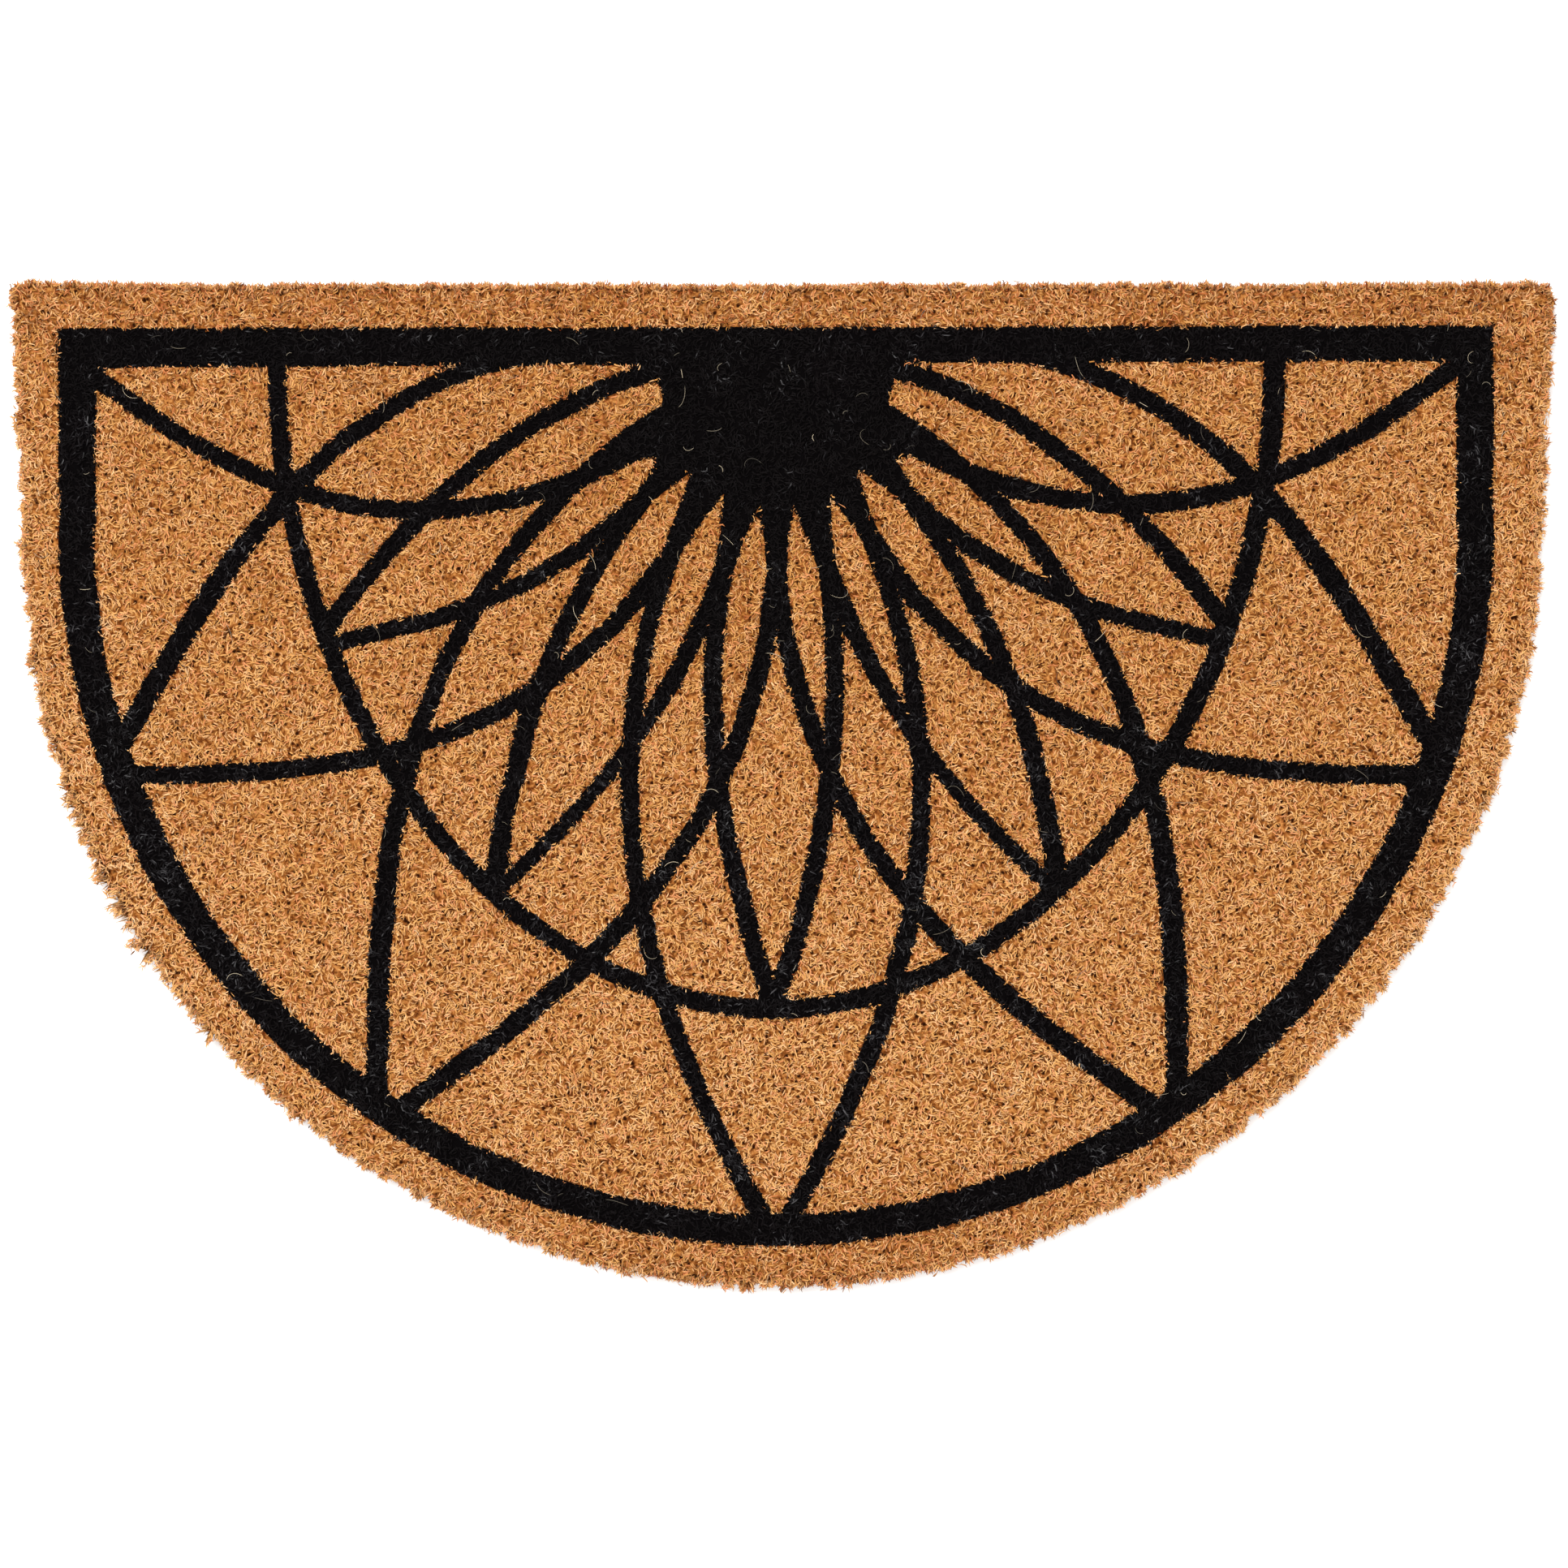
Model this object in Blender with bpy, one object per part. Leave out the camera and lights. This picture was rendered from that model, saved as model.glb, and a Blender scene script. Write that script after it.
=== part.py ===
# Half-round coir doormat: a slab of short coir pile on a flat rubbery backing sheet.
# Metres, +Z up. The mat lies on the floor at z = 0, with the middle of its outline at
# x = y = 0. Its straight edge runs along X on the +Y side, and its round end points to -Y.

import math
import random
from collections import namedtuple

import bmesh
import bpy
from mathutils import Vector
from mathutils.geometry import delaunay_2d_cdt

# Driving dimensions, over the tips of the tufts
STRAIGHT_EDGE = 0.6055
ARC_RADIUS = 0.298
SIDE_RUN = 0.096
CORNER_RADIUS = 0.006
MAT_HEIGHT = 0.015
BACKING_THICKNESS = 0.002
PIECE_GAP = 0.0003

# The sides flare from the ends of the arc up to the two corners, the straight edge sags a
# little between them, and the round end is cut fuller at its left than at its right.
SIDE_FLARE = STRAIGHT_EDGE / 2 - ARC_RADIUS
EDGE_SAG = 0.0012
EDGE_SAG_POWER = 6
ROUND_SKEW = 0.0013

MAT_DEPTH = SIDE_RUN + ARC_RADIUS
TOP_Y = MAT_DEPTH / 2
ARC_CENTRE_Y = TOP_Y - SIDE_RUN
PILE_BOTTOM = BACKING_THICKNESS + PIECE_GAP

# Locks are the bunches of fibre that stand out along the rim, two outline points to each.
# Their tips and the notches between them reach to these shares of the edge's notch.
LOCK_PITCH = 0.0080
LOCK_LEAN = 0.0018
TIP_DEPTHS = (0.0, 0.35)
NOTCH_DEPTHS = (0.55, 1.0)
EDGE_WANDER = 0.0005
WANDER_WAVES = (7, 17, 31)

# How deep the notches between locks are, how much of each ring's inset the edge takes, and
# how far the backing stays behind the tips. The straight edge is cut square, so it splays least.
Edge = namedtuple("Edge", "notch splay backing_inset")
EDGES = {
    "straight": Edge(notch=0.0016, splay=0.40, backing_inset=0.0010),
    "side": Edge(notch=0.0030, splay=1.00, backing_inset=0.0035),
    "round": Edge(notch=0.0034, splay=1.00, backing_inset=0.0035),
}

# The pile's rim, from the backing up: tufts are rooted behind the tips and splay outwards.
RimRing = namedtuple("RimRing", "height inset lock_share")
RIM_RINGS = (
    RimRing(height=PILE_BOTTOM, inset=0.0050, lock_share=0.20),
    RimRing(height=0.0065, inset=0.0016, lock_share=0.75),
    RimRing(height=0.0110, inset=0.0000, lock_share=1.00),
    RimRing(height=0.0142, inset=0.0036, lock_share=0.55),
)

# The tread, a field of low lumps
FIELD_PITCH = 0.0110
FIELD_MARGIN = 0.0085
FIELD_JITTER = 0.0022
LUMP_HEIGHT = 0.0006
SWELL_HEIGHT = 0.0003
SWELL_WAVES_PER_METRE = 9.0

OUTLINE_STEP = 0.0005
BACKING_POINTS = 150
CUT_TOLERANCE = 1e-6
MERGE_TOLERANCE = 1e-5
SEED = 7

Station = namedtuple("Station", "place outward edge along")

PILE_FINISH = {"colour": (0.479, 0.198, 0.061, 1.0), "roughness": 0.95, "metallic": 0.0}
BACKING_FINISH = {"colour": (0.035, 0.037, 0.040, 1.0), "roughness": 0.70, "metallic": 0.0}


def clear_scene():
    for old in list(bpy.data.objects):
        bpy.data.objects.remove(old)


def finish(name, colour, roughness, metallic):
    material = bpy.data.materials.new(name)
    material.use_nodes = True
    shader = material.node_tree.nodes["Principled BSDF"]
    shader.inputs["Base Color"].default_value = colour
    shader.inputs["Roughness"].default_value = roughness
    shader.inputs["Metallic"].default_value = metallic
    return material


def side_half_width(y):
    """Half the mat's width at a height y on its straight-sided part."""
    rise = max(0.0, (y - ARC_CENTRE_Y) / SIDE_RUN)
    return ARC_RADIUS + SIDE_FLARE * rise


def edge_sag(x):
    """How far the straight edge lies inside the line from corner to corner."""
    share = abs(x) / (STRAIGHT_EDGE / 2)
    return EDGE_SAG * (1 - share**EDGE_SAG_POWER)


def steps(length):
    return max(2, round(length / OUTLINE_STEP))


def right_side():
    """From the end of the arc up to the corner, with each point's edge name."""
    run = SIDE_RUN - CORNER_RADIUS
    count = steps(run)
    for i in range(count):
        y = ARC_CENTRE_Y + run * i / count
        yield Vector((side_half_width(y), y)), "side"


def right_corner():
    centre = Vector((STRAIGHT_EDGE / 2 - CORNER_RADIUS, TOP_Y - CORNER_RADIUS))
    count = steps(CORNER_RADIUS * math.pi / 2)
    for i in range(count):
        turn = math.pi / 2 * i / count
        arm = Vector((math.cos(turn), math.sin(turn)))
        yield centre + CORNER_RADIUS * arm, "side"


def straight_edge():
    half = STRAIGHT_EDGE / 2 - CORNER_RADIUS
    count = steps(2 * half)
    for i in range(count):
        x = half - 2 * half * i / count
        yield Vector((x, TOP_Y - edge_sag(x))), "straight"


def round_end():
    count = steps(ARC_RADIUS * math.pi)
    for i in range(count):
        turn = math.pi * (1 + i / count)
        arm = Vector((math.cos(turn), math.sin(turn)))
        radius = ARC_RADIUS + ROUND_SKEW * math.sin(2 * turn)
        yield Vector((0, ARC_CENTRE_Y)) + radius * arm, "round"


def smooth_outline():
    """The outline anticlockwise from the arc's right end, at a fine step."""
    right = list(right_side()) + list(right_corner())
    # The left side is the right one mirrored, so it runs down instead of up.
    corner_end = Vector((STRAIGHT_EDGE / 2 - CORNER_RADIUS, TOP_Y)), "side"
    left = [(Vector((-p.x, p.y)), edge) for p, edge in reversed(right + [corner_end])]
    return right + list(straight_edge()) + left[:-1] + list(round_end())


def stations(count):
    """count points spaced evenly round the outline, with their outward directions."""
    fine = smooth_outline()
    travelled = [0.0]
    for (a, _), (b, _) in zip(fine, fine[1:] + fine[:1]):
        travelled.append(travelled[-1] + (b - a).length)
    total = travelled[-1]
    found = []
    at = 0
    for i in range(count):
        target = total * i / count
        while travelled[at + 1] < target:
            at += 1
        (a, edge), (b, _) = fine[at], fine[(at + 1) % len(fine)]
        share = (target - travelled[at]) / (travelled[at + 1] - travelled[at])
        ahead = (b - a).normalized()
        found.append(Station(a.lerp(b, share), Vector((ahead.y, -ahead.x)), edge, i / count))
    return found


def outline_length():
    fine = [p for p, _ in smooth_outline()]
    return sum((b - a).length for a, b in zip(fine, fine[1:] + fine[:1]))


def wander(along):
    """A slow in-and-out drift of the cut edge, from -EDGE_WANDER to +EDGE_WANDER."""
    waves = (math.sin(2 * math.pi * n * along + n) for n in WANDER_WAVES)
    return EDGE_WANDER * sum(waves) / len(WANDER_WAVES)


def lock_offsets(places, chance):
    """For each station: how far in its point lies, and how far it leans along the edge."""
    offsets = []
    for i, station in enumerate(places):
        notch = EDGES[station.edge].notch
        is_tip = i % 2 == 0
        depth = chance.uniform(*(TIP_DEPTHS if is_tip else NOTCH_DEPTHS))
        lean = LOCK_LEAN * chance.uniform(-1, 1)
        offsets.append((notch * depth - wander(station.along), lean))
    return offsets


def rim_points(places, offsets, ring):
    """One closed ring of the rim. Tips reach out by their share of the lock."""
    points = []
    for station, (depth, lean) in zip(places, offsets):
        inward = ring.inset * EDGES[station.edge].splay + ring.lock_share * depth
        aside = Vector((-station.outward.y, station.outward.x)) * lean * ring.lock_share
        place = station.place - station.outward * inward + aside
        points.append((place.x, place.y, ring.height))
    return points


def in_field(x, y):
    """Whether a lump's place lies far enough inside the outline."""
    if y < ARC_CENTRE_Y:
        return math.hypot(x, y - ARC_CENTRE_Y) < ARC_RADIUS - FIELD_MARGIN
    return abs(x) < side_half_width(y) - FIELD_MARGIN and y < TOP_Y - FIELD_MARGIN


def field_points(chance):
    """Lump tops on a jittered triangular lattice, each with its own height."""
    row_step = FIELD_PITCH * math.sqrt(3) / 2
    rows = int(MAT_DEPTH / row_step) + 1
    columns = int(STRAIGHT_EDGE / FIELD_PITCH) + 2
    points = []
    for row in range(rows):
        for column in range(columns):
            x = (column - columns / 2 + 0.5 * (row % 2)) * FIELD_PITCH
            y = TOP_Y - row * row_step
            x += FIELD_JITTER * chance.uniform(-1, 1)
            y += FIELD_JITTER * chance.uniform(-1, 1)
            lump = LUMP_HEIGHT * chance.uniform(-1, 1)
            turn = 2 * math.pi * SWELL_WAVES_PER_METRE
            swell = SWELL_HEIGHT * math.sin(turn * x) * math.cos(turn * y)
            if in_field(x, y):
                points.append((x, y, MAT_HEIGHT + lump + swell))
    return points


def add_ring(mesh, points):
    """Vertices at the points and the closed loop of edges between them."""
    corners = [mesh.verts.new(p) for p in points]
    return [mesh.edges.new((a, b)) for a, b in zip(corners, corners[1:] + corners[:1])]


def add_tread(mesh, top_ring, lumps):
    """Triangles over the lumps, held to the top ring of the rim."""
    count = len(top_ring)
    flat = [Vector(p[:2]) for p in top_ring + lumps]
    border = [(i, (i + 1) % count) for i in range(count)]
    made = delaunay_2d_cdt(flat, border, [], 1, CUT_TOLERANCE)
    places, faces, sources = made[0], made[2], made[3]
    heights = [p[2] for p in top_ring + lumps]
    corners = [mesh.verts.new((*p, heights[s[0]])) for p, s in zip(places, sources)]
    for face in faces:
        mesh.faces.new([corners[i] for i in face])


def link(name, data, material, collection):
    data.materials.append(material)
    made = bpy.data.objects.new(name, data)
    collection.objects.link(made)
    return made


def make_pile(collection):
    """The coir pile: one lumpy slab with locks all round its rim."""
    chance = random.Random(SEED)
    lock_count = round(outline_length() / LOCK_PITCH)
    places = stations(2 * lock_count)
    offsets = lock_offsets(places, chance)
    rings = [rim_points(places, offsets, ring) for ring in RIM_RINGS]
    mesh = bmesh.new()
    loops = [add_ring(mesh, ring) for ring in rings]
    for lower, upper in zip(loops, loops[1:]):
        bmesh.ops.bridge_loops(mesh, edges=lower + upper)
    underside = bmesh.ops.contextual_create(mesh, geom=loops[0])["faces"]
    bmesh.ops.triangulate(mesh, faces=underside)
    add_tread(mesh, rings[-1], field_points(chance))
    bmesh.ops.remove_doubles(mesh, verts=mesh.verts, dist=MERGE_TOLERANCE)
    bmesh.ops.recalc_face_normals(mesh, faces=mesh.faces)
    data = bpy.data.meshes.new("coir_pile")
    mesh.to_mesh(data)
    mesh.free()
    return link("coir_pile", data, finish("coir", **PILE_FINISH), collection)


def make_backing(collection):
    """The flat sheet that the fibres are rooted in, cut a little inside the tufts."""
    curve = bpy.data.curves.new("backing_sheet", "CURVE")
    curve.dimensions = "2D"
    curve.fill_mode = "BOTH"
    curve.extrude = BACKING_THICKNESS / 2
    line = curve.splines.new("POLY")
    line.use_cyclic_u = True
    line.points.add(BACKING_POINTS - 1)
    for point, station in zip(line.points, stations(BACKING_POINTS)):
        inset = EDGES[station.edge].backing_inset - wander(station.along)
        place = station.place - station.outward * inset
        point.co = (place.x, place.y, 0.0, 1.0)
    made = link("backing_sheet", curve, finish("backing", **BACKING_FINISH), collection)
    made.location.z = BACKING_THICKNESS / 2
    return made


def main():
    clear_scene()
    collection = bpy.data.collections.new("half_round_coir_doormat")
    bpy.context.scene.collection.children.link(collection)
    make_pile(collection)
    make_backing(collection)


main()
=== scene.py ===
import math
from collections import namedtuple

import bmesh
import bpy
import numpy as np
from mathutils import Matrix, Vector


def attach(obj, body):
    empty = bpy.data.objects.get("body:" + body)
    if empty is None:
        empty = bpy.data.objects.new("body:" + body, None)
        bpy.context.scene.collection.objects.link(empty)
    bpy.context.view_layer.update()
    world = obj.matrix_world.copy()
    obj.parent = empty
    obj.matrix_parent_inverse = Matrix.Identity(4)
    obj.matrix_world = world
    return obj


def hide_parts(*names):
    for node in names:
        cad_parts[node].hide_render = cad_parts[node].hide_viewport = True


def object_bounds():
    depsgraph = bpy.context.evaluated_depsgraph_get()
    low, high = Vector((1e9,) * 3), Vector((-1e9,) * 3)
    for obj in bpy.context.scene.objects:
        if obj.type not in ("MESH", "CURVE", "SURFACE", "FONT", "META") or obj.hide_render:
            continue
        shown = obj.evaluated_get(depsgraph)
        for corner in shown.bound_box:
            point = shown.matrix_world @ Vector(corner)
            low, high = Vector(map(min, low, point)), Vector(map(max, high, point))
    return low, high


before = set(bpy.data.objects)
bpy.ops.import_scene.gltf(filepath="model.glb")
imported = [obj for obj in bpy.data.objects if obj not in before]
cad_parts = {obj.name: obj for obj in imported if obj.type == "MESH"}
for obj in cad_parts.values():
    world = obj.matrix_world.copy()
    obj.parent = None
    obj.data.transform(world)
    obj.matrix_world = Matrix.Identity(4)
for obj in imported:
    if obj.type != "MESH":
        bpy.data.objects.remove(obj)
cadLow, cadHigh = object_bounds()
print("frame loaded:", ", ".join(sorted(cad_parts)))


# Camera, light and floor

studio = {
    "cameraHeight": 2.2,
    "viewWidth": 0.6101,          # of the whole picture, at the tread
    "viewCentre": (0.0006, 0.0009),
    "viewEnd": 20.0,
    "sensor": 36.0,               # millimetres
    "keySize": 1.3,
    "keyPlace": (-0.45, 0.60, 2.1),
    "keyPower": 48.0,
    "fillSize": 1.6,
    "fillPlace": (1.1, -0.9, 1.7),
    "fillPower": 10.0,
    "skyStrength": 1.15,
    "floorSize": 9.0,
    "floorColour": (0.95, 0.95, 0.945, 1.0),
    "floorRoughness": 0.9,
    "floorSpecular": 0.1,
}


def addCamera(treadHeight):
    data = bpy.data.cameras.new("top_camera")
    camera = bpy.data.objects.new("top_camera", data)
    bpy.context.scene.collection.objects.link(camera)
    reach = studio["cameraHeight"] - treadHeight
    data.sensor_width = studio["sensor"]
    data.lens = data.sensor_width * reach / studio["viewWidth"]
    data.clip_end = studio["viewEnd"]
    camera.location = (*studio["viewCentre"], studio["cameraHeight"])
    bpy.context.scene.camera = camera


def addSoftLight(name, place, size, power):
    bpy.ops.object.light_add(type="AREA", location=place)
    light = bpy.context.object
    light.name = name
    light.data.shape = "DISK"
    light.data.size = size
    light.data.energy = power
    light.rotation_euler = (-Vector(place)).to_track_quat("-Z", "Y").to_euler()


def addStudio():
    addSoftLight("key_light", studio["keyPlace"], studio["keySize"], studio["keyPower"])
    addSoftLight("fill_light", studio["fillPlace"], studio["fillSize"], studio["fillPower"])
    world = bpy.data.worlds.new("studio_room")
    world.use_nodes = True
    sky = world.node_tree.nodes["Background"]
    sky.inputs["Color"].default_value = (1.0, 1.0, 1.0, 1.0)
    sky.inputs["Strength"].default_value = studio["skyStrength"]
    bpy.context.scene.world = world
    bpy.context.scene.view_settings.view_transform = "Standard"
    bpy.ops.mesh.primitive_plane_add(size=studio["floorSize"])
    floor = bpy.context.object
    floor.name = "studio_floor"
    paint = bpy.data.materials.new("floor_paint")
    paint.use_nodes = True
    shader = paint.node_tree.nodes["Principled BSDF"]
    shader.inputs["Base Color"].default_value = studio["floorColour"]
    shader.inputs["Roughness"].default_value = studio["floorRoughness"]
    shader.inputs["Specular IOR Level"].default_value = studio["floorSpecular"]
    floor.data.materials.append(paint)


addCamera(cadHigh.z)
addStudio()
print("camera, light and floor are set")


# Each unevenness has its own seed, and all fibres share one.
seeds = {
    "cutAcross": 11,
    "cutAlong": 12,
    "lumps": 21,
    "patches": 31,
    "streaks": 32,
    "hues": 33,
    "glintPatch": 34,
    "lobes": 35,
    "broadHues": 36,
    "ragged": 41,
    "fibres": 5,
}
waves = {
    "count": 7,
    "sizes": (0.6, 1.6),          # the shortest and the longest, of the size that is asked for
    "starts": 7.0,                # radians, the furthest along itself that one starts
}


def ripple(x, y, size, seed):
    # A smooth unevenness from about -1 to 1, made of a few crossing waves
    chance = np.random.default_rng(seed)
    total = np.zeros_like(x)
    for _ in range(waves["count"]):
        heading = chance.uniform(0, 2 * math.pi)
        pace = 2 * math.pi / (size * chance.uniform(*waves["sizes"]))
        start = chance.uniform(0, waves["starts"])
        total += np.sin(pace * (x * math.cos(heading) + y * math.sin(heading)) + start)
    return total / math.sqrt(2 * waves["count"])


# The printed pattern: a half rosette of pointed petals in a half-round border, drawn by rule

printed = {
    "middle": (-0.0025, 0.1655),       # the rosette's centre, under the border's straight run
    "lineWidth": 0.0076,
    "rightThicker": 0.15,              # the lines get thicker towards the right, a metre
    "thickerFrom": 0.50,               # along a petal, a side's own thickness starts here
    "thickerAt": 0.75,                 # and is fully there from here on
    "discRadius": 0.0465,
    "discBelow": 0.0080,               # the black reaches further down between the petals,
    "discBelowFrom": (23.0, 28.0),     # from these degrees under the straight edge on,
    "discShoulder": 0.0077,            # and furthest at its two shoulders
    "shoulderAt": (35.5, 6.0),         # degrees, and half their width
    "rootFill": 0.0030,                # there the lines thicken towards the disc, on each side,
    "rootReach": 0.070,                # from this far out, so that the cells end in points
    "ringHalfWidth": 0.1943,
    "ringDepth": 0.2523,
    "ringSquareness": 1.96,            # 2 is an ellipse, less is flatter between its ends
    "ringLean": 0.005,                 # the ring leans to the left on its way down
    "ringThicker": 0.6,                # and is thicker in its right half, a metre
    "borderHalfWidth": 0.2795,
    "borderTop": 0.1789,
    "borderTilt": 0.0022,              # the straight run climbs a little towards the right
    "borderArcCentre": 0.1007,
    "borderArcRadius": 0.2798,
    "bandTop": 0.0145,
    "bandTopTaper": 0.0027,            # and gets thinner that way
    "bandSide": 0.0146,
    "bandEnd": 0.0125,
    "handCut": 0.00030,                # how far the hand-cut lines wander
    "handCutSize": 0.034,
    "bleed": 0.00050,                  # how far the ink's edge follows single fibres
    "ragged": 0.00060,                 # and small groups of them
    "raggedSize": 0.003,
}

# Angles run from the straight edge round to the middle of the round end, and each petal
# stands on both sides, turned by its swing towards the left. A petal's upper side is the one
# towards the straight edge. A side bulges most at its peak, a share of the way out, and its
# taper says how fast it closes. Its thickness is a share of the line's width.
Side = namedtuple("Side", "bulge peak taper thickness", defaults=(1.0,))
Petal = namedtuple("Petal", "degrees swing length upper lower")
outerPetals = (
    Petal(0.0, 0.5, 0.2700, Side(0.0568, 0.51, 1.06), Side(0.0568, 0.51, 1.06)),
    Petal(31.5, 0.0, 0.3110, Side(0.0628, 0.44, 1.24, 1.18), Side(0.0598, 0.49, 1.20, 0.96)),
    Petal(62.4, 0.1, 0.3379, Side(0.0602, 0.45, 1.13, 1.18), Side(0.0561, 0.48, 1.19, 1.10)),
    Petal(90.0, 0.0, 0.3426, Side(0.0566, 0.49, 1.05), Side(0.0570, 0.48, 1.05)),
)
innerPetals = (
    Petal(31.5, 0.2, 0.2147, Side(0.0286, 0.43, 1.12), Side(0.0225, 0.53, 1.30, 0.90)),
    Petal(62.0, 0.0, 0.2353, Side(0.0245, 0.49, 1.06, 1.08), Side(0.0227, 0.51, 1.06, 0.82)),
    Petal(90.4, 0.0, 0.2526, Side(0.0238, 0.50, 1.00), Side(0.0237, 0.50, 1.20)),
)


def halfLine(right):
    # Half the line's width at a place
    return printed["lineWidth"] / 2 * (1 + printed["rightThicker"] * right)


def petalSide(along, across, halfWidth, length, side):
    # How deep a place lies in the line that is one side of a petal
    rise = side.taper * side.peak / (1 - side.peak)
    tiny = 1e-4
    share = np.clip(along / length, tiny, 1 - tiny)
    scale = side.bulge / (side.peak**rise * (1 - side.peak) ** side.taper)
    offset = scale * share**rise * (1 - share) ** side.taper
    slope = offset * (rise / share - side.taper / (1 - share)) / length
    distance = np.abs(across - offset) / np.sqrt(1 + slope**2)
    beyond = np.maximum(-along, along - length)
    start, full = printed["thickerFrom"], printed["thickerAt"]
    halfWidth = halfWidth * (1 + (side.thickness - 1) * np.clip((share - start) / (full - start), 0, 1))
    return halfWidth - np.hypot(distance, np.maximum(beyond, 0))


def petalDepth(right, down, petal):
    # The same for both sides of a petal, on the left and on the right
    depth = np.full_like(right, -1.0)
    for hand in (1, -1) if petal.degrees < 90 else (1,):
        turn = math.radians(petal.degrees - hand * petal.swing)
        along = hand * right * math.cos(turn) + down * math.sin(turn)
        across = -hand * right * math.sin(turn) + down * math.cos(turn)
        halfWidth = halfLine(right)
        depth = np.maximum(depth, petalSide(along, -across, halfWidth, petal.length, petal.upper))
        depth = np.maximum(depth, petalSide(along, across, halfWidth, petal.length, petal.lower))
    return depth


def belowStraight(right, down):
    # The angle under the straight edge, and from 0 to 1, how fully the disc is filled out there
    degrees = np.degrees(np.arctan2(down, np.abs(right)))
    first, last = printed["discBelowFrom"]
    return degrees, np.clip((degrees - first) / (last - first), 0, 1)


def discDepth(right, down):
    # How deep a place lies in the black disc, which is filled out between the petals' roots
    degrees, share = belowStraight(right, down)
    middle, width = printed["shoulderAt"]
    reach = printed["discRadius"] + printed["discBelow"] * share
    reach += printed["discShoulder"] * np.exp(-(((degrees - middle) / width) ** 2))
    return reach - np.hypot(right, down)


def rootFill(right, down):
    # How much the lines thicken on each side, close to the disc
    _, share = belowStraight(right, down)
    outer = printed["rootReach"]
    near = (outer - np.hypot(right, down)) / (outer - printed["discRadius"])
    return printed["rootFill"] * share * np.clip(near, 0, 1)


def borderDepths(x, y):
    # How deep a place lies inside the border's outer edge, and inside its inner edge
    right = x - printed["middle"][0]
    down = printed["borderArcCentre"] - y
    fromArc = printed["borderArcRadius"] - np.hypot(right, down)
    fromSide = np.where(down > 0, fromArc, printed["borderHalfWidth"] - np.abs(right))
    fromTop = printed["borderTop"] + printed["borderTilt"] * x - y
    share = np.clip(down / printed["borderArcRadius"], 0, 1)
    band = printed["bandSide"] + (printed["bandEnd"] - printed["bandSide"]) * share
    bandTop = printed["bandTop"] - printed["bandTopTaper"] * x
    return np.minimum(fromSide, fromTop), np.minimum(fromSide - band, fromTop - bandTop)


def inkDepth(x, y):
    # How deep a place lies in the printed black. Below zero the coir is bare.
    wander, size = printed["handCut"], printed["handCutSize"]
    acrossCut = wander * ripple(x, y, size, seeds["cutAcross"])
    alongCut = wander * ripple(x, y, size, seeds["cutAlong"])
    x, y = x + acrossCut, y + alongCut
    right = x - printed["middle"][0]
    down = printed["middle"][1] - y
    radius = np.hypot(right, down)
    power = printed["ringSquareness"]
    reach = (np.abs(right + printed["ringLean"] * down) / printed["ringHalfWidth"]) ** power
    reach = (reach + (np.abs(down) / printed["ringDepth"]) ** power) ** (1 / power)
    outOfRing = radius - radius / np.maximum(reach, 1e-6)
    halfRing = halfLine(right) * (1 + printed["ringThicker"] * np.maximum(right, 0))
    depth = halfRing - np.abs(outOfRing)
    inRing = halfLine(right) - outOfRing
    for petal in innerPetals:
        depth = np.maximum(depth, np.minimum(petalDepth(right, down, petal), inRing))
    for petal in outerPetals:
        depth = np.maximum(depth, petalDepth(right, down, petal))
    depth = np.maximum(depth + rootFill(right, down), discDepth(right, down))
    inOuter, inInner = borderDepths(x, y)  # the petals and the ring end at the border
    return np.minimum(np.maximum(depth, -inInner), inOuter)


# Finishes

finishes = {                      # the roughness and the specular of each
    "coir_fibre": (0.62, 0.03),
    "loose_hair": (0.6, 0.1),
    "coir_bed": (0.85, 0.02),
    "backing_vinyl": (0.62, 0.3),
}


def newFinish(name):
    roughness, specular = finishes[name]
    finish = bpy.data.materials.new(name)
    finish.use_nodes = True
    nodes = finish.node_tree.nodes
    shader = nodes["Principled BSDF"]
    shader.inputs["Roughness"].default_value = roughness
    shader.inputs["Specular IOR Level"].default_value = specular
    return finish, nodes, finish.node_tree.links, shader


def addRamp(nodes, stops):
    ramp = nodes.new("ShaderNodeValToRGB")
    while len(ramp.color_ramp.elements) < len(stops):
        ramp.color_ramp.elements.new(0.5)
    for element, (place, colour) in zip(ramp.color_ramp.elements, stops):
        element.position = place
        element.color = (*colour, 1.0)
    return ramp


def addMix(nodes, links, blend, factor, first, second):
    mix = nodes.new("ShaderNodeMix")
    mix.data_type = "RGBA"
    mix.blend_type = blend
    for socket, value in (("Factor", factor), ("A", first), ("B", second)):
        if isinstance(value, bpy.types.NodeSocket):
            links.new(value, mix.inputs[socket])
        else:
            mix.inputs[socket].default_value = value
    return mix.outputs["Result"]


def addMapPlace(nodes, links):
    # The place on the piece's own map, as X across and Y up
    place = nodes.new("ShaderNodeUVMap")
    place.uv_map = "OFBake"
    split = nodes.new("ShaderNodeSeparateXYZ")
    links.new(place.outputs["UV"], split.inputs["Vector"])
    return split.outputs["X"], split.outputs["Y"]


def addBump(nodes, links, height, distance, strength, shader):
    bump = nodes.new("ShaderNodeBump")
    bump.inputs["Distance"].default_value = distance
    bump.inputs["Strength"].default_value = strength
    links.new(height, bump.inputs["Height"])
    links.new(bump.outputs["Normal"], shader.inputs["Normal"])
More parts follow.
